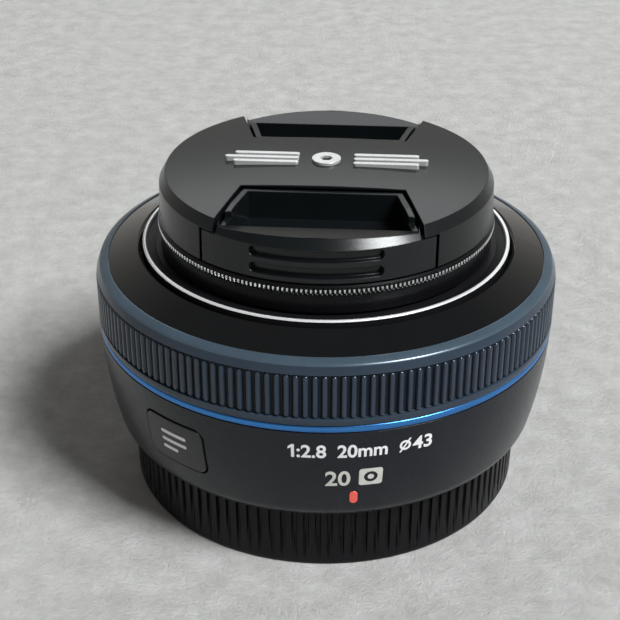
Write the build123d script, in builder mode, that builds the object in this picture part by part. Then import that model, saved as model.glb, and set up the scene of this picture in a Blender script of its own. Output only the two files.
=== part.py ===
"""Compact autofocus prime lens, 20 mm f/2.8, stored with its front cap, filter and rear cap.

The optical axis is +Z. The origin is the centre of the rear cap's underside, so the lens
stands on its rear cap with its front upwards. The side with the index mark faces -Y.
"""
import os
from math import cos, radians, sin, sqrt

from build123d import *

os.makedirs("parts", exist_ok=True)

# ---------------------------------------------------------------- driving dimensions (mm)
RUN = 0.05                      # radial running clearance
SEAM = 0.10                     # axial gap between stacked outer pieces

REAR_CAP_R = 27.25              # rear cap
REAR_CAP_FOOT_R = 27.1
REAR_CAP_H = 8.75
REAR_CAP_WALL = 1.7
REAR_CAP_FLOOR = 1.6

FLANGE_Z = REAR_CAP_H + SEAM    # bayonet flange plane
FLANGE_T = 1.55
FLANGE_R = 27.0
SPIGOT_R = 20.9
SPIGOT_BORE = 19.3
SPIGOT_TIP_Z = 3.6
LOBE_R = 22.4                   # bayonet lobes
LOBE_T = 1.4
LOBE_HALF = 25.0                # degrees
MOUNT_SCREW_R = 23.9
MOUNT_SCREW_ANGLES = [45, 135, 225, 315]

CASE_FOOT_R = 28.0              # rear casing
CASE_FOOT_Z = 8.95
CASE_TOP_R = 31.05
CASE_TOP_Z = 23.35
ACCENT_R = 31.10
ACCENT_T = 1.0
ACCENT_CROWN = 0.22             # how much the band's face is rounded off at its edges

RING_R = 31.15                  # focus ring, over the crests of its ribs
RING_BORE = 29.06
RING_FOOT_Z = CASE_TOP_Z + ACCENT_T + SEAM
RING_RIB_TOP_Z = 31.4
RING_BEVEL_R, RING_BEVEL_Z = 30.65, 32.6
RING_TOP_R, RING_TOP_Z = 29.5, 33.15

SHOULDER_R, SHOULDER_Z = 29.35, 33.08      # outer edge of the glossy shoulder
LIP_R, LIP_Z = 25.1, 34.7                  # its inner edge

BARREL_R = 24.7                 # sliding front barrel
BARREL_WALL = 1.2
BARREL_FOOT_Z = 15.2
BARREL_TOP_Z = 34.85
TRIM_R, TRIM_BORE, TRIM_TOP_Z = 24.7, 24.05, 35.3
GUIDE_BORE = BARREL_R + RUN     # bore of the main frame
FRAME_R = 25.6
FRAME_PLATE_Z = FLANGE_Z + FLANGE_T + 0.05
FRAME_PLATE_T = 1.55

THREAD_R = 21.5                 # 43 mm filter thread
FILTER_TURN_R = 22.5            # knurled grip of the filter
FILTER_FOOT_Z = 34.95
FILTER_TOP_Z = 38.8
FILTER_KNURL_Z = 37.3

CAP_R = 22.3                    # front cap
CAP_FOOT_Z = FILTER_TOP_Z + 0.2
CAP_SIDE_TOP_Z = 43.5
CAP_RIM_R, CAP_RIM_Z = 21.3, 44.85
CAP_CROWN_Z = 45.65
CAP_TURN = -3.1                 # the cap was pushed on slightly turned
CHORD = 8.05                    # distance from the axis to the edge of each finger recess
CHORD_HALF = 10.5
SPLAY = 0.254                   # sideways run of the recess edge per unit outwards
TAB_SEAM_X = 14.75

BUTTON_AZ = -38.5               # degrees round from -Y towards +X
BUTTON_W, BUTTON_H, BUTTON_Z = 10.0, 7.2, 17.0
INDEX_AZ, INDEX_Z = 7.0, 13.0

IRIS_Z = 21.6                   # underside of the iris base
BLADES = 7
PIVOT_R = 8.2
PIN_R = 10.6                    # radius of the blades' drive pins from the axis
BLADE_OPEN_R = 4.25
BLADE_OUT_R = 7.35
BLADE_T, BLADE_PITCH = 0.07, 0.11
BLADE_TURN = 26.0               # degrees that a blade swings to stop fully down
RING_TURN = 6.0                 # degrees that the drive ring turns for that
GEAR_MODULE = 0.24
SECTOR_TEETH, PINION_TEETH = 100, 10
PINION_AT = 60.0                # direction of the pinion from the axis

MOTOR_AT, MOTOR_C = 15.0, 18.5  # focus motor: direction and distance from the axis
ROD_ANGLES, ROD_C, ROD_R = [105, 285], 19.5, 0.75
SENSOR_AT, SENSOR_C = 330.0, 20.0
CONTACT_AT = 90.0


# ---------------------------------------------------------------- helpers
def polar(radius, angle):
    """Point at a radius and angle in degrees."""
    return radius * cos(radians(angle)), radius * sin(radians(angle))


def tube(r_out, r_in, z0, z1, mode=Mode.ADD):
    """A plain ring about the optical axis."""
    with BuildSketch(Plane.XY.offset(z0)) as face:
        Circle(r_out)
        Circle(r_in, mode=Mode.SUBTRACT)
    extrude(face.sketch, amount=z1 - z0, mode=mode)


def disc(radius, z0, z1, at=(0, 0), mode=Mode.ADD):
    """An upright cylinder."""
    with BuildSketch(Plane.XY.offset(z0)) as face:
        with Locations(at):
            Circle(radius)
    extrude(face.sketch, amount=z1 - z0, mode=mode)


def turned(points, mode=Mode.ADD):
    """A solid of revolution from (radius, height) corners."""
    with BuildSketch(Plane.XZ) as face:
        with BuildLine():
            Polyline(*points, close=True)
        make_face()
    revolve(face.sketch, axis=Axis.Z, mode=mode)


def sector(r_out, r_in, angle, half, z0, z1, mode=Mode.ADD):
    """Part of a ring, centred on an angle."""
    with BuildSketch(Plane.XY.offset(z0)) as face:
        with BuildLine():
            outer = CenterArc((0, 0), r_out, angle - half, 2 * half)
            inner = CenterArc((0, 0), r_in, angle - half, 2 * half)
            Line(outer @ 0, inner @ 0)
            Line(outer @ 1, inner @ 1)
        make_face()
    extrude(face.sketch, amount=z1 - z0, mode=mode)


def radial_plane(azimuth, radius, z):
    """Plane facing outwards; azimuth runs from -Y towards +X."""
    angle = radians(azimuth - 90)
    out = Vector(cos(angle), sin(angle), 0)
    side = Vector(-sin(angle), cos(angle), 0)
    return Plane(origin=out * radius + Vector(0, 0, z), x_dir=side, z_dir=out)


def polar_plane(angle, z):
    """Horizontal plane whose X axis points along an angle."""
    return Plane(origin=(0, 0, z), x_dir=(*polar(1, angle), 0), z_dir=(0, 0, 1))


def cap_plane(z):
    """Horizontal plane in the front cap's own turned frame."""
    return polar_plane(CAP_TURN, z)


def spherical(z_vertex, radius, half):
    """Sag point list of a spherical surface: rim, middle and vertex."""
    def height(r):
        return z_vertex - radius + (sqrt(radius ** 2 - r ** 2) if radius > 0
                                    else -sqrt(radius ** 2 - r ** 2))
    return (half, height(half)), (half * 0.55, height(half * 0.55)), (0, z_vertex)


def glass(z_front, r_front, z_back, r_back, half):
    """A lens element; a positive radius bulges towards +Z."""
    f_rim, f_mid, f_top = spherical(z_front, r_front, half)
    b_rim, b_mid, b_top = spherical(z_back, r_back, half)
    with BuildSketch(Plane.XZ) as face:
        with BuildLine():
            ThreePointArc(f_top, f_mid, f_rim)
            Line(f_rim, b_rim)
            ThreePointArc(b_rim, b_mid, b_top)
            Line(b_top, f_top)
        make_face()
    revolve(face.sketch, axis=Axis.Z)


def save(part, name):
    """Label a finished sub-part and write its STEP file."""
    part.label = name
    export_step(part, f"parts/{name}.step")


# ---------------------------------------------------------------- rear cap
with BuildPart() as rear_cap:
    turned([(0, 0), (REAR_CAP_FOOT_R - 0.4, 0), (REAR_CAP_FOOT_R, 0.4), (REAR_CAP_R, REAR_CAP_H),
            (REAR_CAP_R - REAR_CAP_WALL, REAR_CAP_H), (REAR_CAP_R - REAR_CAP_WALL, REAR_CAP_FLOOR),
            (0, REAR_CAP_FLOOR)])
    tube(LOBE_R + 1.5, LOBE_R + 0.5, REAR_CAP_FLOOR, 7.2)
    for angle in (30, 150, 270):
        sector(LOBE_R + 0.6, SPIGOT_R + 0.4, angle, 24, 5.7, 7.2)
save(rear_cap.part, "rear_cap")

# ---------------------------------------------------------------- metal mount
with BuildPart() as mount_ring:
    tube(SPIGOT_R, SPIGOT_BORE, SPIGOT_TIP_Z, FLANGE_Z)
    tube(FLANGE_R, SPIGOT_BORE, FLANGE_Z, FLANGE_Z + FLANGE_T)
    for angle in (90, 210, 330):
        sector(LOBE_R, SPIGOT_BORE + 0.5, angle, LOBE_HALF, SPIGOT_TIP_Z, SPIGOT_TIP_Z + LOBE_T)
    for angle in MOUNT_SCREW_ANGLES:
        disc(0.9, FLANGE_Z, FLANGE_Z + FLANGE_T, polar(MOUNT_SCREW_R, angle), Mode.SUBTRACT)
        disc(1.75, FLANGE_Z, FLANGE_Z + 0.75, polar(MOUNT_SCREW_R, angle), Mode.SUBTRACT)
    disc(0.9, FLANGE_Z, FLANGE_Z + 1.0, polar(24.6, 180), Mode.SUBTRACT)
save(mount_ring.part, "mount_ring")

with BuildPart() as mount_screws:
    for angle in MOUNT_SCREW_ANGLES:
        disc(1.65, FLANGE_Z + 0.05, FLANGE_Z + 0.7, polar(MOUNT_SCREW_R, angle))
        disc(0.8, FLANGE_Z + 0.7, 13.2, polar(MOUNT_SCREW_R, angle))
        disc(0.55, FLANGE_Z + 0.05, FLANGE_Z + 0.4, polar(MOUNT_SCREW_R, angle), Mode.SUBTRACT)
save(mount_screws.part, "mount_screws")

with BuildPart() as contact_block:
    sector(19.2, 17.2, CONTACT_AT, 25, 3.9, 8.0)
    for step in range(-4, 5):
        disc(0.56, 3.9, 5.0, polar(18.2, CONTACT_AT + 5 * step), Mode.SUBTRACT)
save(contact_block.part, "contact_block")

with BuildPart() as contact_pins:
    for step in range(-4, 5):
        disc(0.54, 3.65, 4.95, polar(18.2, CONTACT_AT + 5 * step))
save(contact_pins.part, "contact_pins")

with BuildPart() as rear_baffle:
    disc(17.0, 6.4, 7.2)
    tube(17.0, 16.2, 7.2, FRAME_PLATE_Z - 0.02)
    with BuildSketch(Plane.XY.offset(6.4)):
        RectangleRounded(17.5, 12.5, 1.5)
    extrude(amount=0.8, mode=Mode.SUBTRACT)
save(rear_baffle.part, "rear_baffle")

# ---------------------------------------------------------------- fixed frame
PLATE_TOP = FRAME_PLATE_Z + FRAME_PLATE_T
FRAME_TOP_Z = 31.0
BOARD_Z, BOARD_T = PLATE_TOP + 0.3, 0.8
BOARD_SCREW_ANGLES = [45, 165, 250]
with BuildPart() as main_frame:
    tube(27.8, 13.4, FRAME_PLATE_Z, PLATE_TOP)
    tube(FRAME_R, GUIDE_BORE, PLATE_TOP, FRAME_TOP_Z)
    tube(29.6, GUIDE_BORE, 22.3, 23.3)
    for angle in MOUNT_SCREW_ANGLES:
        disc(1.7, PLATE_TOP, 13.6, polar(MOUNT_SCREW_R, angle))
        disc(0.85, FRAME_PLATE_Z, 13.6, polar(MOUNT_SCREW_R, angle), Mode.SUBTRACT)
    for angle in ROD_ANGLES:
        disc(ROD_R, PLATE_TOP - 0.9, PLATE_TOP, polar(ROD_C, angle), Mode.SUBTRACT)
    for angle in BOARD_SCREW_ANGLES:
        disc(1.1, PLATE_TOP, BOARD_Z, polar(20.5, angle))
        disc(0.6, PLATE_TOP - 1.0, BOARD_Z, polar(20.5, angle), Mode.SUBTRACT)
    sector(18.9, 17.9, CONTACT_AT, 14, FRAME_PLATE_Z, PLATE_TOP, Mode.SUBTRACT)
save(main_frame.part, "main_frame")

with BuildPart() as circuit_board:
    tube(22.0, 14.6, BOARD_Z, BOARD_Z + BOARD_T)
    disc(3.4, BOARD_Z, BOARD_Z + BOARD_T, polar(MOTOR_C, MOTOR_AT), Mode.SUBTRACT)
    for angle in ROD_ANGLES:
        disc(1.3, BOARD_Z, BOARD_Z + BOARD_T, polar(ROD_C, angle), Mode.SUBTRACT)
    for angle in BOARD_SCREW_ANGLES:
        disc(0.65, BOARD_Z, BOARD_Z + BOARD_T, polar(20.5, angle), Mode.SUBTRACT)
    for angle, width, depth in ((200, 5.0, 5.0), (228, 3.2, 2.4), (130, 4.0, 3.0), (300, 3.0, 2.0)):
        with BuildSketch(polar_plane(angle, BOARD_Z + BOARD_T)):
            with Locations((18.2, 0)):
                Rectangle(width, depth)
        extrude(amount=0.9)
save(circuit_board.part, "circuit_board")

with BuildPart() as board_screws:
    for angle in BOARD_SCREW_ANGLES:
        disc(1.2, BOARD_Z + BOARD_T, BOARD_Z + BOARD_T + 0.5, polar(20.5, angle))
        disc(0.55, PLATE_TOP - 0.9, BOARD_Z + BOARD_T, polar(20.5, angle))
save(board_screws.part, "board_screws")

with BuildPart() as flex_cable:
    sector(18.5, 18.3, CONTACT_AT, 11, 8.02, BOARD_Z - 0.02)
save(flex_cable.part, "flex_cable")

with BuildPart() as guide_rods:
    for angle in ROD_ANGLES:
        disc(ROD_R, PLATE_TOP - 0.88, 29.2, polar(ROD_C, angle))
save(guide_rods.part, "guide_rods")

# ---------------------------------------------------------------- focus drive
MOTOR_TOP = 17.5
SCREW_R = 0.8
with BuildPart() as focus_motor:
    disc(3.0, PLATE_TOP + 0.02, MOTOR_TOP, polar(MOTOR_C, MOTOR_AT))
    disc(SCREW_R + RUN, MOTOR_TOP - 1.5, MOTOR_TOP, polar(MOTOR_C, MOTOR_AT), Mode.SUBTRACT)
save(focus_motor.part, "focus_motor")

BRACKET_T = 0.7
BRACKET_TOP = 30.0
with BuildPart() as motor_bracket:
    for z0, length in ((MOTOR_TOP + 0.02, 6.2), (BRACKET_TOP - BRACKET_T, 4.4)):
        with BuildSketch(polar_plane(MOTOR_AT, z0)):
            with Locations((21.6 - length / 2, 0)):
                Rectangle(length, 3.6)
        extrude(amount=BRACKET_T)
    with BuildSketch(polar_plane(MOTOR_AT, MOTOR_TOP + 0.02)):
        with Locations((21.25, 0)):
            Rectangle(BRACKET_T, 3.6)
    extrude(amount=BRACKET_TOP - MOTOR_TOP - 0.02)
    disc(SCREW_R + 0.3, MOTOR_TOP, MOTOR_TOP + 1, polar(MOTOR_C, MOTOR_AT), Mode.SUBTRACT)
    disc(0.45, 28, BRACKET_TOP, polar(MOTOR_C, MOTOR_AT), Mode.SUBTRACT)
save(motor_bracket.part, "motor_bracket")

with BuildPart() as lead_screw:
    disc(SCREW_R, MOTOR_TOP - 1.4, 29.1, polar(MOTOR_C, MOTOR_AT))
    disc(0.42, 29.1, 29.9, polar(MOTOR_C, MOTOR_AT))
save(lead_screw.part, "lead_screw")

with BuildPart() as home_sensor:
    with BuildSketch(polar_plane(SENSOR_AT, BOARD_Z + BOARD_T)):
        with Locations((SENSOR_C, 0)):
            Rectangle(2.4, 3.4)
    extrude(amount=3.0)
    with BuildSketch(polar_plane(SENSOR_AT, BOARD_Z + BOARD_T + 1.0)):
        with Locations((SENSOR_C, 0)):
            Rectangle(2.6, 1.2)
    extrude(amount=2.2, mode=Mode.SUBTRACT)
save(home_sensor.part, "home_sensor")

# ---------------------------------------------------------------- rear casing
CASE_ARC_R = 59.5               # the casing's side is one arc, vertical at this height:
CASE_ARC_Z = 25.0


def case_radius(z):
    """Outer radius of the rear casing's side."""
    return CASE_TOP_R + 0.03 - CASE_ARC_R + sqrt(CASE_ARC_R ** 2 - (CASE_ARC_Z - z) ** 2)


with BuildPart() as rear_casing:
    with BuildSketch(Plane.XZ):
        with BuildLine():
            side = ThreePointArc((case_radius(CASE_TOP_Z), CASE_TOP_Z), (case_radius(17), 17),
                                 (case_radius(11.2), 11.2))
            heel = ThreePointArc(side @ 1, (28.85, 9.75), (CASE_FOOT_R, CASE_FOOT_Z))
            Polyline(heel @ 1, (FLANGE_R + RUN, CASE_FOOT_Z), (FLANGE_R + RUN, 10.42), (27.9, 10.42),
                     (28.2, 12.0), (29.1, 16.0), (29.7, 20.0), (29.75, CASE_TOP_Z), side @ 0)
        make_face()
    revolve(axis=Axis.Z)
    with BuildSketch(radial_plane(BUTTON_AZ, 26, BUTTON_Z)):
        RectangleRounded(BUTTON_W, BUTTON_H, 1.5)
    extrude(amount=8, mode=Mode.SUBTRACT)
    with BuildSketch(radial_plane(INDEX_AZ, 29.2, INDEX_Z)):
        SlotOverall(1.9, 1.1, rotation=90)
    extrude(amount=3, mode=Mode.SUBTRACT)
save(rear_casing.part, "rear_casing")

with BuildPart() as index_mark:
    with BuildSketch(radial_plane(INDEX_AZ, 29.22, INDEX_Z)):
        SlotOverall(1.86, 1.06, rotation=90)
    extrude(amount=0.85)
    fillet(index_mark.faces().sort_by(lambda f: f.center().Y)[0].edges(), 0.15)
save(index_mark.part, "index_mark")

with BuildPart() as function_button:
    with BuildSketch(radial_plane(BUTTON_AZ, 27.75, BUTTON_Z)):
        RectangleRounded(BUTTON_W - 0.5, BUTTON_H - 0.5, 1.3)
    extrude(amount=5)
    with BuildSketch(Plane.XZ):
        with BuildLine():
            outer = ThreePointArc((case_radius(22) + 0.12, 22), (case_radius(17) + 0.12, 17),
                                  (case_radius(12) + 0.12, 12))
            Polyline(outer @ 1, (0, 12), (0, 22), outer @ 0)
        make_face()
    revolve(axis=Axis.Z, mode=Mode.INTERSECT)
    with BuildSketch(radial_plane(BUTTON_AZ, 27.15, BUTTON_Z)):
        RectangleRounded(11.2, 7.6, 1.0)
    extrude(amount=0.6)
save(function_button.part, "function_button")

with BuildPart() as button_switch:
    with BuildSketch(radial_plane(BUTTON_AZ, FRAME_R + 0.06, BUTTON_Z)):
        Rectangle(3.0, 3.0)
    extrude(amount=0.65)
    with BuildSketch(radial_plane(BUTTON_AZ, FRAME_R + 0.7, BUTTON_Z)):
        Circle(0.8)
    extrude(amount=0.4)
save(button_switch.part, "button_switch")

# ---------------------------------------------------------------- accent ring and shoulder
with BuildPart() as accent_ring:
    with BuildSketch(Plane.XZ):
        with BuildLine():
            crown = ThreePointArc((ACCENT_R - ACCENT_CROWN, CASE_TOP_Z),
                                  (ACCENT_R, CASE_TOP_Z + ACCENT_T / 2),
                                  (ACCENT_R - ACCENT_CROWN, CASE_TOP_Z + ACCENT_T))
            Polyline(crown @ 1, (28.0, CASE_TOP_Z + ACCENT_T), (28.0, CASE_TOP_Z), crown @ 0)
        make_face()
    revolve(axis=Axis.Z)
save(accent_ring.part, "accent_ring")

SLEEVE_FOOT_Z = CASE_TOP_Z + ACCENT_T + 0.02
with BuildPart() as front_shoulder:
    turned([(RING_BORE - 0.06, SLEEVE_FOOT_Z), (RING_BORE - 0.06, 32.7), (SHOULDER_R, 32.7),
            (SHOULDER_R, SHOULDER_Z), (LIP_R + 0.35, LIP_Z), (LIP_R, LIP_Z - 0.2),
            (LIP_R, FRAME_TOP_Z + 0.05),
            (LIP_R + 0.8, FRAME_TOP_Z + 0.05), (LIP_R + 0.8, LIP_Z - 1.6), (28.3, 32.3),
            (28.3, SLEEVE_FOOT_Z)])
    with BuildSketch(radial_plane(60, 27, 25.4)):
        Rectangle(3.0, 1.2)
    extrude(amount=3, mode=Mode.SUBTRACT)
save(front_shoulder.part, "front_shoulder")

with BuildPart() as ring_sensor:
    with BuildSketch(radial_plane(60, FRAME_R + 0.1, 24.6)):
        Rectangle(3.0, 2.4)
    extrude(amount=2.2)
save(ring_sensor.part, "ring_sensor")

# ---------------------------------------------------------------- focus ring
with BuildPart() as focus_ring:
    turned([(29.86, RING_FOOT_Z), (RING_R - 0.15, RING_FOOT_Z), (RING_R, RING_FOOT_Z + 0.15),
            (RING_R, RING_RIB_TOP_Z), (RING_BEVEL_R, RING_BEVEL_Z), (RING_TOP_R, RING_TOP_Z),
            (RING_TOP_R - 0.05, 32.6), (RING_BORE, 32.6), (RING_BORE, 26.1), (29.86, 26.1)])
save(focus_ring.part, "focus_ring")

with BuildPart() as encoder_ring:
    tube(29.84, 29.4, RING_FOOT_Z + 0.1, 26.05)
save(encoder_ring.part, "encoder_ring")

# ---------------------------------------------------------------- sliding front unit
HUB_R = 11.2
DECK_Z, DECK_T = 23.9, 1.0
with BuildPart() as front_barrel:
    turned([(BARREL_R - BARREL_WALL, BARREL_FOOT_Z), (BARREL_R, BARREL_FOOT_Z), (BARREL_R, BARREL_TOP_Z),
            (TRIM_BORE, BARREL_TOP_Z), (22.9, 34.55), (THREAD_R + 0.06, 34.55), (THREAD_R + 0.06, 31.5),
            (BARREL_R - BARREL_WALL, 30.2)])
    tube(BARREL_R - 0.6, HUB_R, DECK_Z, DECK_Z + DECK_T)
    for angle in ROD_ANGLES:
        disc(1.8, DECK_Z - 2.0, DECK_Z + DECK_T, polar(ROD_C, angle))
        disc(ROD_R + 0.03, DECK_Z - 2.0, DECK_Z + DECK_T, polar(ROD_C, angle), Mode.SUBTRACT)
    disc(1.2, DECK_Z, DECK_Z + DECK_T, polar(MOTOR_C, MOTOR_AT), Mode.SUBTRACT)
    with BuildSketch(polar_plane(MOTOR_AT, DECK_Z)):
        with Locations((21.25, 0)):
            Rectangle(1.7, 4.6)
    extrude(amount=DECK_T, mode=Mode.SUBTRACT)
    with BuildSketch(polar_plane(SENSOR_AT, 14.9)):
        with Locations((SENSOR_C, 0)):
            Rectangle(1.6, 0.5)
    extrude(amount=DECK_Z - 14.9)
save(front_barrel.part, "front_barrel")

with BuildPart() as trim_ring:
    turned([(TRIM_BORE, BARREL_TOP_Z), (TRIM_R, BARREL_TOP_Z), (TRIM_R, TRIM_TOP_Z - 0.15),
            (TRIM_R - 0.15, TRIM_TOP_Z), (TRIM_BORE + 0.1, TRIM_TOP_Z), (TRIM_BORE, TRIM_TOP_Z - 0.1)])
save(trim_ring.part, "trim_ring")

with BuildPart() as name_ring:
    turned([(HUB_R + 0.1, 30.0), (20.9, 31.2), (THREAD_R - 0.1, 31.2), (THREAD_R - 0.1, 31.8),
            (20.8, 31.8), (HUB_R + 0.1, 30.6)])
save(name_ring.part, "name_ring")

NUT_Z = 22.1
with BuildPart() as lead_nut:
    with BuildSketch(polar_plane(MOTOR_AT, NUT_Z)):
        with Locations((18.2, 0)):
            Rectangle(4.2, 4.0)
    extrude(amount=DECK_Z - 0.02 - NUT_Z)
    disc(SCREW_R + RUN, NUT_Z, DECK_Z, polar(MOTOR_C, MOTOR_AT), Mode.SUBTRACT)
save(lead_nut.part, "lead_nut")

# ---------------------------------------------------------------- optics: six elements in four groups
CELL_SCREW_R, CELL_SCREW_ANGLES = 12.9, [0, 120, 240]
with BuildPart() as front_cell:
    turned([(HUB_R - 0.02, 23.7), (HUB_R - 0.02, 24.92), (14.3, 24.92), (14.3, 25.9), (HUB_R, 25.9),
            (HUB_R, 32.4), (8.45, 32.4), (8.45, 27.45), (6.6, 27.45), (6.6, 24.2), (5.4, 24.2), (5.4, 23.7)])
    for angle in CELL_SCREW_ANGLES:
        disc(0.5, 24.92, 25.9, polar(CELL_SCREW_R, angle), Mode.SUBTRACT)
save(front_cell.part, "front_cell")

with BuildPart() as cell_screws:
    for angle in CELL_SCREW_ANGLES:
        disc(0.9, 25.92, 26.5, polar(CELL_SCREW_R, angle))
        disc(0.48, 24.95, 25.92, polar(CELL_SCREW_R, angle))
save(cell_screws.part, "cell_screws")

with BuildPart() as rear_cell:
    turned([(10.4, 7.6), (10.4, 20.9), (12.5, 20.9), (12.5, IRIS_Z - 0.03), (5.4, IRIS_Z - 0.03),
            (5.4, 21.3), (6.9, 21.3), (6.9, 15.9), (9.25, 15.4), (9.25, 10.6), (8.3, 9.6), (8.3, 7.6)])
    disc(2.85, 20.8, 21.7, polar(13.2, PINION_AT), Mode.SUBTRACT)
save(rear_cell.part, "rear_cell")

with BuildPart() as element_1:
    glass(32.0, 30.0, 30.6, 13.0, 8.4)
save(element_1.part, "element_1")

with BuildPart() as element_2:
    glass(29.2, 18.0, 26.9, -40.0, 6.5)
save(element_2.part, "element_2")

with BuildPart() as element_3:
    glass(26.88, -40.0, 25.0, 30.0, 6.5)
save(element_3.part, "element_3")

with BuildPart() as element_4:
    glass(20.2, -30.0, 19.0, 20.0, 6.8)
save(element_4.part, "element_4")

with BuildPart() as element_5:
    glass(18.98, 20.0, 15.6, -22.0, 6.8)
save(element_5.part, "element_5")

with BuildPart() as element_6:
    glass(14.4, -60.0, 11.9, -18.0, 9.15)
save(element_6.part, "element_6")

with BuildPart() as front_retainer:
    turned([(8.42, 31.1), (8.42, 32.3), (7.7, 32.3), (7.6, 31.1)])
save(front_retainer.part, "front_retainer")

# ---------------------------------------------------------------- iris
BASE_T = 0.4
BLADE_Z0 = IRIS_Z + BASE_T + 0.06
DRIVE_Z = BLADE_Z0 + BLADE_PITCH * (BLADES - 1) + BLADE_T + 0.07
DRIVE_T = 0.4
PITCH_R = GEAR_MODULE * SECTOR_TEETH / 2
PINION_PITCH_R = GEAR_MODULE * PINION_TEETH / 2
PINION_C = PITCH_R + PINION_PITCH_R
DRIVE_R = 11.3
POST_ANGLES = [0, 120, 240]
with BuildPart() as iris_base:
    tube(16.6, 4.7, IRIS_Z, IRIS_Z + BASE_T)
    tube(12.5, DRIVE_R + RUN, IRIS_Z + BASE_T, DRIVE_Z + DRIVE_T)
    sector(13.0, 11.0, PINION_AT, 29, IRIS_Z + BASE_T, DRIVE_Z + DRIVE_T + 1, Mode.SUBTRACT)
    for angle in POST_ANGLES:
        disc(1.2, IRIS_Z + BASE_T, DECK_Z - 0.02, polar(15.2, angle))
    for blade in range(BLADES):
        disc(0.33, IRIS_Z, IRIS_Z + BASE_T, polar(PIVOT_R, 360 / BLADES * blade), Mode.SUBTRACT)
    disc(0.5, IRIS_Z, IRIS_Z + BASE_T, polar(PINION_C, PINION_AT), Mode.SUBTRACT)
save(iris_base.part, "iris_base")

LEVER = PIN_R - PIVOT_R
RATIO = BLADE_TURN / RING_TURN


def pin_in_ring(angle_of_ring):
    """Drive pin's place in the turned drive ring's own frame, for the blade at angle 0."""
    swing = radians(angle_of_ring * RATIO)
    x = PIVOT_R + LEVER * cos(swing)
    y = LEVER * sin(swing)
    back = radians(-angle_of_ring)
    return x * cos(back) - y * sin(back), x * sin(back) + y * cos(back)


for blade in range(BLADES):
    level = BLADE_Z0 + BLADE_PITCH * blade
    plane = polar_plane(360 / BLADES * blade, level)
    with BuildPart() as iris_blade:
        with BuildSketch(plane):
            with BuildLine():
                outer = CenterArc((0, 0), BLADE_OUT_R, 0, 112)
                inner = CenterArc((0, 0), BLADE_OPEN_R, 6, 100)
                Line(outer @ 0, inner @ 0)
                Line(outer @ 1, inner @ 1)
            make_face()
            with Locations((PIVOT_R, 0)):
                Circle(0.75)
            with Locations(((PIVOT_R + PIN_R) / 2, 0)):
                Rectangle(LEVER, 0.8)
            with Locations((PIN_R, 0)):
                Circle(0.5)
            with Locations(((BLADE_OUT_R + PIVOT_R) / 2 - 0.3, 0.2)):
                Rectangle(1.6, 1.1)
        extrude(amount=BLADE_T)
        with BuildSketch(plane.offset(IRIS_Z + 0.05 - level)):
            with Locations((PIVOT_R, 0)):
                Circle(0.28)
        extrude(amount=level - IRIS_Z - 0.05)
        with BuildSketch(plane.offset(BLADE_T)):
            with Locations((PIN_R, 0)):
                Circle(0.25)
        extrude(amount=DRIVE_Z + DRIVE_T - 0.03 - level - BLADE_T)
    save(iris_blade.part, f"iris_blade_{blade + 1}")

SLOT_STEPS = 8
with BuildPart() as iris_drive_ring:
    tube(DRIVE_R, 5.2, DRIVE_Z, DRIVE_Z + DRIVE_T)
    sector(PITCH_R - 0.26, 11.0, PINION_AT, 22, DRIVE_Z, DRIVE_Z + DRIVE_T)
    for tooth in range(-5, 5):
        with BuildSketch(polar_plane(PINION_AT + (tooth + 0.5) * 360 / SECTOR_TEETH, DRIVE_Z)):
            with BuildLine():
                Polyline((PITCH_R - 0.3, -0.16), (PITCH_R + 0.2, -0.07), (PITCH_R + 0.2, 0.07),
                         (PITCH_R - 0.3, 0.16), close=True)
            make_face()
        extrude(amount=DRIVE_T)
    for blade in range(BLADES):
        with BuildSketch(polar_plane(360 / BLADES * blade, DRIVE_Z)):
            for step in range(SLOT_STEPS + 1):
                with Locations(pin_in_ring(RING_TURN * step / SLOT_STEPS)):
                    Circle(0.34)
        extrude(amount=DRIVE_T, mode=Mode.SUBTRACT)
save(iris_drive_ring.part, "iris_drive_ring")

with BuildPart() as iris_cover:
    tube(12.5, 5.2, DRIVE_Z + DRIVE_T + 0.06, DRIVE_Z + DRIVE_T + 0.26)
    sector(13.0, 11.0, PINION_AT, 29, DRIVE_Z, DRIVE_Z + DRIVE_T + 1, Mode.SUBTRACT)
save(iris_cover.part, "iris_cover")

with BuildPart() as iris_pinion:
    disc(PINION_PITCH_R - 0.3, DRIVE_Z, DRIVE_Z + DRIVE_T, polar(PINION_C, PINION_AT))
    disc(0.4, IRIS_Z - 1.0, DRIVE_Z, polar(PINION_C, PINION_AT))
    hub = Plane(origin=(*polar(PINION_C, PINION_AT), DRIVE_Z), x_dir=(*polar(1, PINION_AT + 180), 0),
                z_dir=(0, 0, 1))
    for tooth in range(PINION_TEETH):
        with BuildSketch(hub.rotated((0, 0, 360 / PINION_TEETH * tooth))):
            with BuildLine():
                Polyline((PINION_PITCH_R - 0.36, -0.14), (PINION_PITCH_R + 0.2, -0.06),
                         (PINION_PITCH_R + 0.2, 0.06), (PINION_PITCH_R - 0.36, 0.14), close=True)
            make_face()
        extrude(amount=DRIVE_T)
save(iris_pinion.part, "iris_pinion")

with BuildPart() as iris_motor:
    disc(2.6, 15.6, IRIS_Z - 0.02, polar(PINION_C, PINION_AT))
    disc(0.45, IRIS_Z - 1.1, IRIS_Z, polar(PINION_C, PINION_AT), Mode.SUBTRACT)
save(iris_motor.part, "iris_motor")

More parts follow.
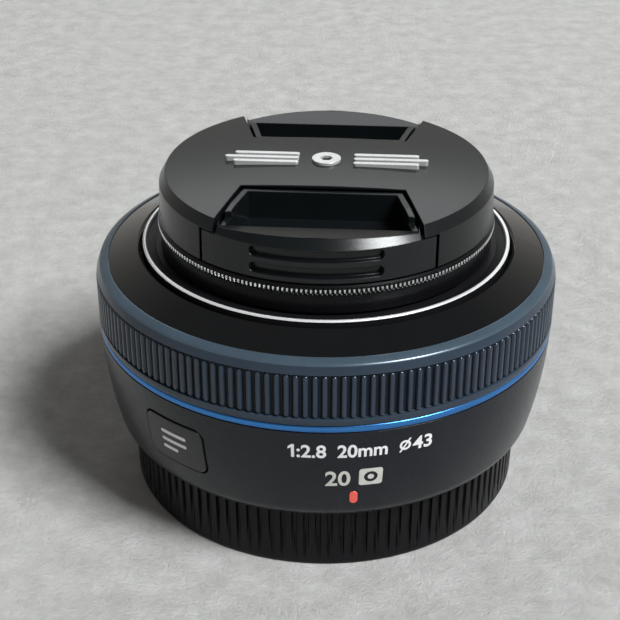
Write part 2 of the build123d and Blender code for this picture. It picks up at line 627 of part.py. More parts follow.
# ---------------------------------------------------------------- filter
GLASS_R = 20.85
with BuildPart() as filter_frame:
    turned([(19.9, 32.0), (THREAD_R - 0.04, 32.0), (THREAD_R - 0.04, FILTER_FOOT_Z),
            (FILTER_TURN_R - 0.3, FILTER_FOOT_Z), (FILTER_TURN_R - 0.3, FILTER_KNURL_Z - 0.1),
            (FILTER_TURN_R, FILTER_KNURL_Z + 0.1), (FILTER_TURN_R, FILTER_TOP_Z - 0.1),
            (FILTER_TURN_R - 0.1, FILTER_TOP_Z), (THREAD_R, FILTER_TOP_Z), (THREAD_R, 36.4),
            (GLASS_R + 0.05, 36.4), (GLASS_R + 0.05, 33.4), (19.9, 33.4)])
save(filter_frame.part, "filter_frame")

with BuildPart() as filter_glass:
    disc(GLASS_R, 33.5, 35.4)
save(filter_glass.part, "filter_glass")

with BuildPart() as filter_retainer:
    tube(GLASS_R, 20.0, 35.42, 36.2)
save(filter_retainer.part, "filter_retainer")

# ---------------------------------------------------------------- front cap
LIP_T = 0.4                     # the bar's thin edge over each finger wall
BAR_UNDER_Z = 43.0
CROWN_R = (CAP_RIM_R ** 2 + (CAP_CROWN_Z - CAP_RIM_Z) ** 2) / (2 * (CAP_CROWN_Z - CAP_RIM_Z))


def crown_z(r):
    """Height of the cap's crowned top at a radius."""
    return CAP_CROWN_Z - CROWN_R + sqrt(CROWN_R ** 2 - r ** 2)


def recess_outline(side, inset, near, far):
    """Outline of one finger recess: a trapezium that widens outwards."""
    def half(y):
        return CHORD_HALF - inset + SPLAY * (y - CHORD)
    return [(-half(near), side * near), (half(near), side * near),
            (half(far), side * far), (-half(far), side * far)]


EMBLEM_Z, EMBLEM_TOP = 45.2, 46.0
EMBLEM_BARS = (8.6, 9.8, 8.6)     # lengths of the bars on each side
EMBLEM_PITCH = 1.35


def emblem(mode):
    """Raised iris symbol between two stacks of bars, or the pocket that it is set into."""
    with BuildSketch(cap_plane(EMBLEM_Z)) as face:
        Circle(1.9)
        RegularPolygon(0.85, 6, mode=Mode.SUBTRACT)
        for side in (-1, 1):
            for row, length in enumerate(EMBLEM_BARS):
                with Locations((side * (3.6 + length / 2), EMBLEM_PITCH * (row - 1))):
                    SlotOverall(length, 0.72)
    extrude(face.sketch, amount=EMBLEM_TOP - EMBLEM_Z, mode=mode)


with BuildPart() as cap_disc:
    with BuildSketch(Plane.XZ):
        with BuildLine():
            crown = ThreePointArc((0, CAP_CROWN_Z), (12, crown_z(12)), (CAP_RIM_R, CAP_RIM_Z))
            Polyline(crown @ 1, (CAP_R - 0.2, CAP_SIDE_TOP_Z), (CAP_R, CAP_FOOT_Z),
                     (CAP_R - 1.4, CAP_FOOT_Z), (CAP_R - 1.4, BAR_UNDER_Z), (0, BAR_UNDER_Z), crown @ 0)
        make_face()
    revolve(axis=Axis.Z)
    tube(THREAD_R - 0.3, 19.6, 37.0, CAP_FOOT_Z)
    tube(CAP_R - 1.3, 19.6, CAP_FOOT_Z - 0.01, CAP_FOOT_Z + 1.0)
    for side in (-1, 1):
        with BuildSketch(cap_plane(30)):
            with BuildLine():
                Polyline(*recess_outline(side, 0, CHORD, 24), close=True)
            make_face()
        extrude(amount=20, mode=Mode.SUBTRACT)
        with BuildSketch(cap_plane(30)):
            with Locations((0, side * 16.3)):
                Rectangle(2 * TAB_SEAM_X, 20)
        extrude(amount=CAP_SIDE_TOP_Z - 0.1 - 30, mode=Mode.SUBTRACT)
        with BuildSketch(cap_plane(30)):
            with Locations((0, side * (CHORD - 0.75))):
                Rectangle(2 * CHORD_HALF + 0.4, 2.0)
        extrude(amount=crown_z(CHORD) - LIP_T - 30, mode=Mode.SUBTRACT)
    emblem(Mode.SUBTRACT)
save(cap_disc.part, "cap_disc")

TAB_GAP = 0.5
TAB_WALL = 0.8
FINGER_Y = CHORD + 0.25
TAB_FLOOR_Z = 40.2
TAB_WALL_TOP = crown_z(CHORD) - LIP_T - 0.1
RIDGE_Y, RIDGE_Z = 16.9, 43.9
GRIP_DEPTH = 0.8
GRIP_W, GRIP_H = 16.4, 1.35
GRIP_ZS = (40.35, 42.5)


def grip_grooves(side):
    """Cutter for the two round-ended finger grooves in a tab's outer wall."""
    azimuth = CAP_TURN if side < 0 else CAP_TURN + 180
    with BuildPart() as grooves:
        for z in GRIP_ZS:
            with BuildSketch(radial_plane(azimuth, 15, z)):
                SlotOverall(GRIP_W, GRIP_H)
            extrude(amount=10)
        disc(CAP_R - GRIP_DEPTH, GRIP_ZS[0] - GRIP_H, GRIP_ZS[1] + GRIP_H, mode=Mode.SUBTRACT)
    return grooves.part


def cap_tab(side):
    """One pinch tab: finger wall, tray floor, curved outer wall and the hook in the thread."""
    with BuildPart() as tab:
        with BuildSketch(cap_plane(TAB_FLOOR_Z)):
            with BuildLine():
                Polyline(*recess_outline(side, TAB_GAP, FINGER_Y, 24), close=True)
            make_face()
        extrude(amount=TAB_WALL_TOP - TAB_FLOOR_Z)
        with BuildSketch(cap_plane(CAP_FOOT_Z + 0.05)):
            with Locations((0, side * 18)):
                Rectangle(2 * TAB_SEAM_X - 0.7, 12)
            Circle(CAP_R - 1.4, mode=Mode.SUBTRACT)
        extrude(amount=CAP_SIDE_TOP_Z - 0.25 - CAP_FOOT_Z - 0.05)
        turned([(0, TAB_FLOOR_Z - 3), (CAP_R, TAB_FLOOR_Z - 3), (CAP_R, CAP_FOOT_Z),
                (CAP_R - 0.2, CAP_SIDE_TOP_Z - 0.15), (20.9, 44.55), (17.0, TAB_WALL_TOP), (0, TAB_WALL_TOP)],
               Mode.INTERSECT)
        with BuildSketch(cap_plane(TAB_FLOOR_Z + 1.0)):
            with BuildLine():
                Polyline(*recess_outline(side, TAB_GAP + TAB_WALL, FINGER_Y + TAB_WALL, RIDGE_Y), close=True)
            make_face()
        extrude(amount=8, mode=Mode.SUBTRACT)
        with BuildSketch(Plane(origin=(0, 0, 0), x_dir=(*polar(side, CAP_TURN + 90), 0),
                               z_dir=(*polar(1, CAP_TURN + 90 - 90 * side), 0))):
            with BuildLine():
                Polyline((RIDGE_Y - 2, RIDGE_Z), (RIDGE_Y, RIDGE_Z), (20.9, 44.5), (20.9, 47),
                         (RIDGE_Y - 2, 47), close=True)
            make_face()
        extrude(amount=12.2, both=True, mode=Mode.SUBTRACT)
        with BuildSketch(cap_plane(37.0)):
            with Locations((0, side * 18)):
                Rectangle(22, 14)
            Circle(19.8, mode=Mode.SUBTRACT)
            Circle(THREAD_R - 0.1, mode=Mode.INTERSECT)
        extrude(amount=CAP_FOOT_Z + 1.3 - 37.0)
        add(grip_grooves(side), mode=Mode.SUBTRACT)
    return tab.part


save(cap_tab(-1), "cap_tab_front")
save(cap_tab(1), "cap_tab_rear")

with BuildPart() as cap_springs:
    for x in (-6.0, 6.0):
        spring_end = Vector(*polar(x, CAP_TURN), 41.75) - Vector(*polar(FINGER_Y - 0.05, CAP_TURN + 90), 0)
        with BuildSketch(Plane(origin=spring_end, x_dir=(0, 0, 1), z_dir=(*polar(1, CAP_TURN + 90), 0))):
            Circle(1.0)
            Circle(0.7, mode=Mode.SUBTRACT)
        extrude(amount=2 * FINGER_Y - 0.1)
save(cap_springs.part, "cap_springs")

with BuildPart() as cap_emblem:
    emblem(Mode.ADD)
save(cap_emblem.part, "cap_emblem")
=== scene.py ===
from math import cos, pi, radians, sin, sqrt

import bmesh
import bpy
import numpy as np
from mathutils import Matrix, Vector


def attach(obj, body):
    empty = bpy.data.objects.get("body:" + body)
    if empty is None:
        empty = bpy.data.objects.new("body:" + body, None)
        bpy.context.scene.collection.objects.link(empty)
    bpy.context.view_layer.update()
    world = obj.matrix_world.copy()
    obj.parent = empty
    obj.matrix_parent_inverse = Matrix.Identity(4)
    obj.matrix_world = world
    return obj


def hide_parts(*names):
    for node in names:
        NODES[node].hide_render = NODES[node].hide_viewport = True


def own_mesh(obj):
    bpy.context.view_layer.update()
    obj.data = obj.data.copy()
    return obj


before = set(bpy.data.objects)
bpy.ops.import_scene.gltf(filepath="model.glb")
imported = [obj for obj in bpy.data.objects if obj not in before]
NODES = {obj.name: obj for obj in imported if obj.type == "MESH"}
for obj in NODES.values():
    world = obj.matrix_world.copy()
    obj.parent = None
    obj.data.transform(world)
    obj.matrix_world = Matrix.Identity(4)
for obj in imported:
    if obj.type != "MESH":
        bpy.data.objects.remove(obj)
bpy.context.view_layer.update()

MM = 0.001


# ------------------------------------------------------------------ shared shapes of the CAD model, in mm
CASE_WIDEST_R, CASE_WIDEST_Z = 31.08, 25.0
CASE_CURVE_R = 59.5


def case_radius(z):
    """Outer radius of the rear casing at height z."""
    return CASE_WIDEST_R - CASE_CURVE_R + sqrt(CASE_CURVE_R ** 2 - (CASE_WIDEST_Z - z) ** 2)


def polar(radius, azimuth, z):
    """Point at a radius, an azimuth in degrees from the front towards the right, and a height."""
    a = radians(azimuth)
    return Vector((radius * sin(a), -radius * cos(a), z))


# ------------------------------------------------------------------ materials
NOISE_LOW, NOISE_HIGH = 0.3, 0.7       # most of a noise texture's values lie between these
EDGE_SAMPLES = 6


def new_material(name):
    """A material with its node tree, its links, its shader and texture coordinates."""
    mat = bpy.data.materials.new(name)
    mat.use_nodes = True
    nodes, links = mat.node_tree.nodes, mat.node_tree.links
    shader = nodes["Principled BSDF"]
    coord = nodes.new("ShaderNodeTexCoord")
    return mat, nodes, links, shader, coord


def noise(nodes, links, coord, scale, detail=3.0, rough=0.6, stretch=None):
    """Noise factor socket in object space, metres; stretch scales each axis."""
    tex = nodes.new("ShaderNodeTexNoise")
    tex.inputs["Scale"].default_value = scale
    tex.inputs["Detail"].default_value = detail
    tex.inputs["Roughness"].default_value = rough
    if stretch:
        mapping = nodes.new("ShaderNodeMapping")
        mapping.inputs["Scale"].default_value = stretch
        links.new(coord.outputs["Object"], mapping.inputs["Vector"])
        links.new(mapping.outputs["Vector"], tex.inputs["Vector"])
    else:
        links.new(coord.outputs["Object"], tex.inputs["Vector"])
    return tex.outputs["Fac"]


def ramp(nodes, links, fac, low, high):
    """Colour ramp from one colour to another over a factor's middle range."""
    node = nodes.new("ShaderNodeValToRGB")
    node.color_ramp.elements[0].position = NOISE_LOW
    node.color_ramp.elements[1].position = NOISE_HIGH
    node.color_ramp.elements[0].color = (*low, 1)
    node.color_ramp.elements[1].color = (*high, 1)
    links.new(fac, node.inputs["Fac"])
    return node.outputs["Color"]


def spread(nodes, links, fac, low, high):
    """A factor remapped from its middle range to low..high."""
    node = nodes.new("ShaderNodeMapRange")
    node.inputs["From Min"].default_value = NOISE_LOW
    node.inputs["From Max"].default_value = NOISE_HIGH
    node.inputs["To Min"].default_value = low
    node.inputs["To Max"].default_value = high
    links.new(fac, node.inputs["Value"])
    return node.outputs["Result"]


def bump(nodes, links, shader, fac, strength, distance, edge=0.0):
    """Fine relief on the shader's normal, with edges softened over a radius in metres."""
    node = nodes.new("ShaderNodeBump")
    node.inputs["Strength"].default_value = strength
    node.inputs["Distance"].default_value = distance
    links.new(fac, node.inputs["Height"])
    if edge:
        soft = nodes.new("ShaderNodeBevel")
        soft.samples = EDGE_SAMPLES
        soft.inputs["Radius"].default_value = edge
        links.new(soft.outputs["Normal"], node.inputs["Normal"])
    links.new(node.outputs["Normal"], shader.inputs["Normal"])


def moulded(name, color, rough, vary=0.12, grain=5200, depth=0.000012, strength=0.35, metal=0.0,
            coat=0.0, coat_rough=0.1, level=0.5, mottle=160, stretch=None, edge=0.0):
    """Moulded, painted or anodised surface: mottled colour and gloss, with a fine moulding grain."""
    mat, nodes, links, shader, coord = new_material(name)
    broad = noise(nodes, links, coord, mottle, 4.0, 0.55)
    low = [c * (1 - vary) for c in color]
    high = [c * (1 + vary) for c in color]
    links.new(ramp(nodes, links, broad, low, high), shader.inputs["Base Color"])
    fine = noise(nodes, links, coord, grain, 4.0, 0.6, stretch)
    links.new(spread(nodes, links, fine, rough * 0.88, min(1.0, rough * 1.12)), shader.inputs["Roughness"])
    bump(nodes, links, shader, fine, strength, depth, edge)
    shader.inputs["Metallic"].default_value = metal
    shader.inputs["Coat Weight"].default_value = coat
    shader.inputs["Coat Roughness"].default_value = coat_rough
    shader.inputs["Specular IOR Level"].default_value = level
    return mat


def coated_glass(name, tint):
    """Clear glass with a violet anti-reflection coating and a trace of haze."""
    mat, nodes, links, shader, coord = new_material(name)
    haze = noise(nodes, links, coord, 300, 3.0, 0.5)
    links.new(ramp(nodes, links, haze, [c * 0.96 for c in tint], tint), shader.inputs["Base Color"])
    links.new(spread(nodes, links, haze, 0.01, 0.035), shader.inputs["Roughness"])
    shader.inputs["Transmission Weight"].default_value = 1.0
    shader.inputs["IOR"].default_value = 1.6
    shader.inputs["Coat Weight"].default_value = 0.6
    shader.inputs["Coat Tint"].default_value = (0.62, 0.55, 0.95, 1)
    return mat


MATERIALS = {
    "cap_black": moulded("cap_black", (0.0034, 0.0034, 0.0044), 0.38, grain=4200, level=0.21, edge=0.00008),
    "mount_metal": moulded("mount_metal", (0.62, 0.63, 0.64), 0.28, metal=1.0, grain=2600,
                           stretch=(1, 1, 14), vary=0.05, edge=0.0001),
    "steel": moulded("steel", (0.56, 0.56, 0.58), 0.3, metal=1.0, grain=3000, vary=0.06),
    "motor_steel": moulded("motor_steel", (0.45, 0.45, 0.47), 0.36, metal=1.0, grain=3000, vary=0.08,
                           stretch=(1, 1, 0.05)),
    "inner_black": moulded("inner_black", (0.004, 0.004, 0.005), 0.5, grain=3800, level=0.3),
    "gold": moulded("gold", (0.85, 0.6, 0.24), 0.22, metal=1.0, grain=3000, vary=0.05),
    "frame_plastic": moulded("frame_plastic", (0.028, 0.028, 0.03), 0.58, grain=3400),
    "board_green": moulded("board_green", (0.01, 0.11, 0.045), 0.4, grain=2600, vary=0.2),
    "flex_amber": moulded("flex_amber", (0.5, 0.22, 0.03), 0.3, grain=2400, vary=0.1, coat=0.4),
    "casing_black": moulded("casing_black", (0.0030, 0.0043, 0.0084), 0.26, grain=6000, depth=0.000006,
                            strength=0.22, level=0.42, vary=0.18, edge=0.00012),
    "index_red": moulded("index_red", (0.70, 0.085, 0.06), 0.24, grain=4000, coat=0.7, vary=0.08),
    "button_black": moulded("button_black", (0.0088, 0.0098, 0.0110), 0.33, grain=6000, depth=0.000006,
                            level=0.5, edge=0.00025),
    "accent_blue": moulded("accent_blue", (0.050, 0.215, 0.56), 0.24, metal=0.85, grain=1500, vary=0.07,
                           stretch=(1, 1, 30), depth=0.000004),
    "shoulder_gloss": moulded("shoulder_gloss", (0.0022, 0.0026, 0.0032), 0.12, grain=2600,
                              depth=0.0000012, strength=0.2, coat=0.65, coat_rough=0.04),
    "ring_slate": moulded("ring_slate", (0.0570, 0.0860, 0.1150), 0.25, grain=5200, depth=0.000007,
                          metal=0.3, vary=0.10, level=0.62),
    "encoder_silver": moulded("encoder_silver", (0.6, 0.6, 0.62), 0.35, metal=1.0, grain=2600, vary=0.08),
    "trim_silver": moulded("trim_silver", (0.92, 0.93, 0.94), 0.24, metal=0.55, grain=1500, vary=0.04,
                           stretch=(1, 1, 20), depth=0.000003),
    "nut_brass": moulded("nut_brass", (0.62, 0.42, 0.16), 0.3, metal=1.0, grain=2800, vary=0.07),
    "filter_black": moulded("filter_black", (0.0024, 0.0025, 0.0032), 0.30, grain=3600, strength=0.06,
                            depth=0.000003, level=0.20),
    "blade_black": moulded("blade_black", (0.008, 0.008, 0.008), 0.5, grain=3600, stretch=(8, 1, 1)),
    "front_cap_black": moulded("front_cap_black", (0.0042, 0.0056, 0.0064), 0.235, grain=4600,
                               depth=0.000010, strength=0.35, level=0.37, edge=0.00018),
    "emblem_silver": moulded("emblem_silver", (0.72, 0.73, 0.73), 0.30, metal=0.6, grain=3800, vary=0.06,
                             edge=0.00008),
    "filter_glass": coated_glass("filter_glass", (0.90, 0.95, 0.95)),
    "lens_glass": coated_glass("lens_glass", (0.92, 0.96, 0.97)),
}
RING_RIB = moulded("ring_rib", (0.0190, 0.0320, 0.0510), 0.22, grain=5200, depth=0.000007, metal=0.15,
                   vary=0.12, level=0.60)
# darker copy of the rib paint for the groove floors: painted shade between the ribs
RING_GROOVE_SHADE = moulded("ring_groove_painted_shade", (0.0050, 0.0085, 0.0140), 0.5, grain=5200, level=0.25)
KNURL_BRIGHT = moulded("knurl_bright", (0.88, 0.90, 0.91), 0.19, metal=1.0, grain=3600, vary=0.1)
PRINT_WHITE = moulded("print_white", (0.74, 0.75, 0.76), 0.45, grain=5200, vary=0.06, mottle=900)
PRINT_CREAM = moulded("print_cream", (0.56, 0.56, 0.52), 0.45, grain=5200, vary=0.06, mottle=900)

for node in NODES.values():
    slot_name = node.data.materials[0].name.split(".")[0]
    node.data.materials[0] = MATERIALS[slot_name]


# ------------------------------------------------------------------ mesh helpers
def finish_piece(name, mesh, body, material, sharp=32.0):
    """A finished piece from a mesh: smooth shaded up to a sharp angle, painted, and riding on its body."""
    obj = bpy.data.objects.new(name, mesh)
    bpy.context.scene.collection.objects.link(obj)
    mesh.shade_smooth()
    mesh.set_sharp_from_angle(angle=radians(sharp))
    mesh.materials.append(material)
    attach(obj, body)
    return obj


WELD = 1e-7        # metres, for a turned piece's points on the axis


def closed_mesh(name, verts, faces, weld=False):
    """A mesh from points in metres, with its faces turned outwards."""
    mesh = bpy.data.meshes.new(name)
    mesh.from_pydata(verts, [], faces)
    work = bmesh.new()
    work.from_mesh(mesh)
    if weld:
        bmesh.ops.remove_doubles(work, verts=work.verts, dist=WELD)
    bmesh.ops.recalc_face_normals(work, faces=work.faces)
    work.to_mesh(mesh)
    work.free()
    return mesh


def lathe(name, profile, body, slot, steps=480, relief=None, sharp=32.0):
    """Closed outline of (radius, z) points in mm turned about the axis; relief gives the carved radius."""
    points = np.array(profile, float)
    count = len(points)
    angle = np.arange(steps)[:, None] * 2 * pi / steps
    radius = np.repeat(points[None, :, 0], steps, 0)
    height = np.repeat(points[None, :, 1], steps, 0)
    if relief:
        radius = relief(angle, radius, height)
    verts = np.stack([radius * np.sin(angle), -radius * np.cos(angle), height], -1).reshape(-1, 3) * MM
    i, j = np.meshgrid(np.arange(steps), np.arange(count), indexing="ij")
    i2, j2 = (i + 1) % steps, (j + 1) % count
    faces = np.stack([i * count + j, i2 * count + j, i2 * count + j2, i * count + j2], -1).reshape(-1, 4)
    mesh = closed_mesh(name, verts.tolist(), faces.tolist(), weld=points[:, 0].min() < 0.001)
    return finish_piece(name, mesh, body, MATERIALS[slot], sharp)


def paint_faces(obj, material, chosen):
    """Paints the faces whose middle radius and height, in mm, are chosen with one more material."""
    mesh = obj.data
    mesh.materials.append(material)
    centre = np.zeros(len(mesh.polygons) * 3)
    mesh.polygons.foreach_get("center", centre)
    centre = centre.reshape(-1, 3) / MM
    index = np.zeros(len(mesh.polygons), np.int32)
    mesh.polygons.foreach_get("material_index", index)
    index[chosen(np.hypot(centre[:, 0], centre[:, 1]), centre[:, 2])] = len(mesh.materials) - 1
    mesh.polygons.foreach_set("material_index", index)


def phase(angle, count):
    """Place within one of count equal pitches, from -0.5 to 0.5, with 0 at a rib's middle."""
    turn = angle * count / (2 * pi)
    return turn - np.floor(turn + 0.5)


# ------------------------------------------------------------------ focus ring with its grip ribs
RIB_COUNT = 168
RIB_ROOT_R = 30.74
RIB_TOP_R = 31.15
RIB_FOOT_Z = 25.45
RIB_HEAD_Z = 31.34
RIB_END = 0.55
RIB_HALF = 0.31                        # of a pitch
RIB_STEPS = 10                         # around one rib
RIBBED_FROM_R = 30.5                   # everything inside this is the ring's bore and foot
GROOVE_SHADE_TO_R = 30.93                    # the floor between two ribs is painted darker up to here, as painted shade in the grooves
GROOVE_SHADE_FOOT_Z, GROOVE_SHADE_HEAD_Z = 25.5, 31.36
BEVEL_FOOT_Z = 32.52                   # the slate bevel starts here


def grip_ribs(angle, radius, height):
    """Rounded ribs that stop short of the band's edges."""
    across = np.abs(phase(angle, RIB_COUNT) / RIB_HALF)
    end = np.minimum(RIB_HEAD_Z - height, height - RIB_FOOT_Z)
    along = np.clip((RIB_END - end) / RIB_END, 0, None)
    solid = np.clip(1 - across ** 3 - along ** 2.5, 0, 1) ** 0.4
    inside = (height > RIB_FOOT_Z) & (height < RIB_HEAD_Z) & (radius > RIBBED_FROM_R)
    return np.where(inside, RIB_ROOT_R + (RIB_TOP_R - RIB_ROOT_R) * solid, radius)


RIB_ZS = [25.46, 25.52, 25.6, 25.7, 25.82, 25.95] + [26.2 + 0.5 * k for k in range(10)] + [
    30.84, 30.97, 31.09, 31.19, 31.27, 31.33]
ring_outline = ([(29.06, 26.1), (29.86, 26.1), (29.86, 24.45), (31.0, 24.45), (31.11, 24.49), (31.15, 24.60),
                 (31.15, 25.28), (31.12, 25.37), (31.0, 25.42)]
                + [(RIB_ROOT_R, z) for z in RIB_ZS]
                + [(30.80, 31.37), (30.98, 31.42), (31.05, 31.50), (30.66, 32.50), (30.58, 32.66),
                   (30.42, 32.76), (29.62, 33.12), (29.45, 33.13), (29.45, 32.6), (29.06, 32.6)])
focus_ring = lathe("focus_ring_ribbed", ring_outline, "ring_body", "ring_slate", RIB_COUNT * RIB_STEPS,
                   grip_ribs)
paint_faces(focus_ring, RING_RIB, lambda r, z: (r > RIBBED_FROM_R) & (z < BEVEL_FOOT_Z))
# the groove floors take the darker paint, painted shade between the ribs
paint_faces(focus_ring, RING_GROOVE_SHADE, lambda r, z: (r < GROOVE_SHADE_TO_R) & (r > RIBBED_FROM_R)
            & (z < GROOVE_SHADE_HEAD_Z) & (z > GROOVE_SHADE_FOOT_Z))
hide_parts("focus_ring")

# ------------------------------------------------------------------ rear cap with its ribbed wall
CAP_RIBS = 112
CAP_RIB_DEPTH = 0.38
CAP_RIB_STEPS = 12                     # around one rib
CAP_RIB_HALF, CAP_RIB_FLANK = 0.25, 0.08   # of a pitch
CAP_RIB_FOOT_Z, CAP_RIB_FOOT_STEP = 0.7, 1.7   # every other rib starts a step higher
CAP_RIB_HEAD_Z, CAP_RIB_END = 8.30, 0.12
CAP_RIB_RUN = 3.6                      # height over which a groove reaches its full depth
CAP_WALL_R = 26.9                      # the ribs are cut outside this radius only
CAP_RIBBED_TO_Z = 8.32


def cap_ribs(angle, radius, height):
    """Grooves between the ribs, shallow at the foot and deeper upwards."""
    place = np.abs(phase(angle, CAP_RIBS))
    number = np.floor(angle * CAP_RIBS / (2 * pi) + 0.5)
    foot = CAP_RIB_FOOT_Z + CAP_RIB_FOOT_STEP * (number % 2)
    groove = np.clip((place - CAP_RIB_HALF) / CAP_RIB_FLANK, 0, 1)
    groove = groove * np.clip((height - foot) / CAP_RIB_RUN, 0, 1) ** 0.7
    groove = groove * np.clip((CAP_RIB_HEAD_Z - height) / CAP_RIB_END, 0, 1)
    ribbed = (radius > CAP_WALL_R) & (height < CAP_RIBBED_TO_Z)
    return np.where(ribbed, radius - CAP_RIB_DEPTH * groove, radius)


WALL_FOOT_R, WALL_FOOT_Z = 27.1, 0.4
WALL_FLARE, WALL_H = 0.15, 8.35
wall = [(WALL_FOOT_R + WALL_FLARE * (z - WALL_FOOT_Z) / WALL_H, z) for z in
        (0.4, 0.7, 0.9, 1.2, 1.6, 2.0, 2.4, 2.8, 3.4, 4.0, 4.6, 5.3, 6.0, 6.7, 7.4, 7.9, 8.12, 8.2, 8.3,
         8.36)]
rear_outline = ([(0, 0), (20.0, 0), (20.4, 0.25), (24.2, 0.25), (24.6, 0), (26.7, 0), (26.95, 0.1)]
                + wall + [(27.14, 8.44), (27.02, 8.47), (26.80, 8.49), (26.76, 8.53), (26.76, 8.75),
                          (25.65, 8.75), (25.55, 8.65), (25.55, 1.7), (25.45, 1.6),
                          (23.9, 1.6), (23.9, 7.1), (23.8, 7.2), (23.0, 7.2), (22.9, 7.19), (22.9, 5.71),
                          (22.9, 5.69), (22.9, 1.6), (0, 1.6)])
LUG_HALF = 12.0                        # degrees
LUG_IN_R = 21.3
LUG_ROOT_R = 22.9
LUG_FOOT_Z, LUG_TOP_Z = 5.7, 7.2
CLOSE = 0.001                          # mm, for comparing a place with the outline's


def cap_lugs(angle, radius, height):
    """The ribs outside, and three lugs that reach in from the inner wall near its top."""
    third = 2 * pi / 3
    off_lug = np.abs((angle + third / 2) % third - third / 2)
    lug = (off_lug < radians(LUG_HALF)) & (np.abs(radius - LUG_ROOT_R) < CLOSE)
    lug = lug & (height > LUG_FOOT_Z - CLOSE) & (height < LUG_TOP_Z + CLOSE)
    return np.where(lug, LUG_IN_R, cap_ribs(angle, radius, height))


rear_cap = lathe("rear_cap_ribbed", rear_outline, "rear_cap_body", "cap_black", CAP_RIBS * CAP_RIB_STEPS,
                 cap_lugs)
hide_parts("rear_cap")

# ------------------------------------------------------------------ filter rim with its knurl
KNURL_COUNT = 240
KNURL_DEPTH = 0.17
KNURL_STEPS = 8                        # around one tooth
KNURL_TIP, KNURL_FLANK = 0.25, 0.5     # of half a pitch
KNURL_FOOT_Z, KNURL_HEAD_Z, KNURL_END = 37.60, 38.60, 0.10
KNURL_FROM_R = 22.4
TIP_FROM_R = 22.455                    # the bright tips lie outside this radius and between these heights
TIP_FOOT_Z, TIP_HEAD_Z = 37.80, 38.34


def knurl(angle, radius, height):
    """Fine straight teeth round the rim."""
    across = np.abs(phase(angle, KNURL_COUNT)) * 2
    groove = np.clip((across - KNURL_TIP) / KNURL_FLANK, 0, 1)
    band = (np.clip((height - KNURL_FOOT_Z) / KNURL_END, 0, 1)
            * np.clip((KNURL_HEAD_Z - height) / KNURL_END, 0, 1))
    return np.where(radius > KNURL_FROM_R, radius - KNURL_DEPTH * groove * band, radius)


filter_outline = [(19.9, 32.0), (21.46, 32.0), (21.46, 34.95), (22.12, 34.95), (22.2, 35.03), (22.2, 37.44),
                  (22.26, 37.50), (22.42, 37.60), (22.47, 37.70), (22.5, 37.82), (22.5, 38.0), (22.5, 38.15),
                  (22.5, 38.32), (22.47, 38.44), (22.40, 38.56), (22.25, 38.8), (21.5, 38.8), (21.5, 36.4),
                  (20.9, 36.4), (20.9, 33.4), (19.9, 33.4)]
filter_rim = lathe("filter_rim_knurled", filter_outline, "filter_body", "filter_black",
                   KNURL_COUNT * KNURL_STEPS, knurl)
paint_faces(filter_rim, KNURL_BRIGHT, lambda r, z: (r > TIP_FROM_R) & (z > TIP_FOOT_Z) & (z < TIP_HEAD_Z))
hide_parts("filter_frame")

# ------------------------------------------------------------------ coil springs behind the two pinch tabs
CAP_TURN = -3.1
SPRING_SIDE, SPRING_Z, SPRING_END = 6.0, 41.75, 8.24
COIL_R, WIRE_R = 0.84, 0.15
COIL_TURNS, COIL_STEPS, WIRE_SIDES = 8, 28, 8


def cap_point(x, y, z):
    """Point in mm in the front cap's own slightly turned axes."""
    turn = radians(CAP_TURN)
    return (x * cos(turn) - y * sin(turn), x * sin(turn) + y * cos(turn), z)


def coil_pair(name, side):
    """Half of both springs, from the cap's middle to one tab."""
    verts, faces = [], []
    rings = COIL_TURNS * COIL_STEPS
    length = SPRING_END - 2 * WIRE_R
    for x in (-SPRING_SIDE, SPRING_SIDE):
        first = len(verts)
        for ring in range(rings + 1):
            turn = 2 * pi * ring / COIL_STEPS
            along = side * (WIRE_R + length * ring / rings)
            for step in range(WIRE_SIDES):
                a = 2 * pi * step / WIRE_SIDES
                out = COIL_R + WIRE_R * cos(a)
                verts.append(Vector(cap_point(x + out * cos(turn), along + WIRE_R * sin(a),
                                              SPRING_Z + out * sin(turn))) * MM)
        for ring in range(rings):
            for step in range(WIRE_SIDES):
                a, b = first + ring * WIRE_SIDES, step
                c = (step + 1) % WIRE_SIDES
                faces.append((a + b, a + c, a + WIRE_SIDES + c, a + WIRE_SIDES + b))
        faces.append([first + step for step in range(WIRE_SIDES)][::-1])
        faces.append([first + rings * WIRE_SIDES + step for step in range(WIRE_SIDES)])
    mesh = closed_mesh(name, verts, faces)
    coil = finish_piece(name, mesh, "front_cap", MATERIALS["steel"], 60.0)
    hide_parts("cap_springs")
    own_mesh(coil)


coil_pair("cap_springs_front", -1)
coil_pair("cap_springs_rear", 1)

# ------------------------------------------------------------------ blue band with rolled edges
accent_outline = [(28.0, 23.35), (30.88, 23.35), (30.96, 23.41), (31.03, 23.50), (31.08, 23.62),
                  (31.10, 23.77), (31.10, 23.93), (31.08, 24.08), (31.03, 24.20), (30.96, 24.29),
                  (30.88, 24.35), (28.0, 24.35)]
accent_band = lathe("accent_band", accent_outline, "lens_body", "accent_blue", 480, None, 60)
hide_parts("accent_ring")

# ------------------------------------------------------------------ polished trim ring
TRIM_BRIGHT_Z = 35.12                  # black below this height, silver above it
trim_outline = [(24.05, 34.85), (24.70, 34.85), (24.70, 35.10), (24.68, 35.19), (24.61, 35.26),
                (24.50, 35.30), (24.38, 35.30), (24.27, 35.26), (24.20, 35.19), (24.18, 35.10),
                (24.05, 35.05)]
trim_band = lathe("trim_band", trim_outline, "front_unit", "trim_silver", 480, None, 50)
paint_faces(trim_band, MATERIALS["filter_black"], lambda r, z: (z < TRIM_BRIGHT_Z))
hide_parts("trim_ring")


# ------------------------------------------------------------------ printed markings
PRINT_HALF = 0.02                      # half the thickness of a flat figure before it is wrapped
PRINT_LIFT = 0.012                     # how far a figure stands off its surface, and sinks into it


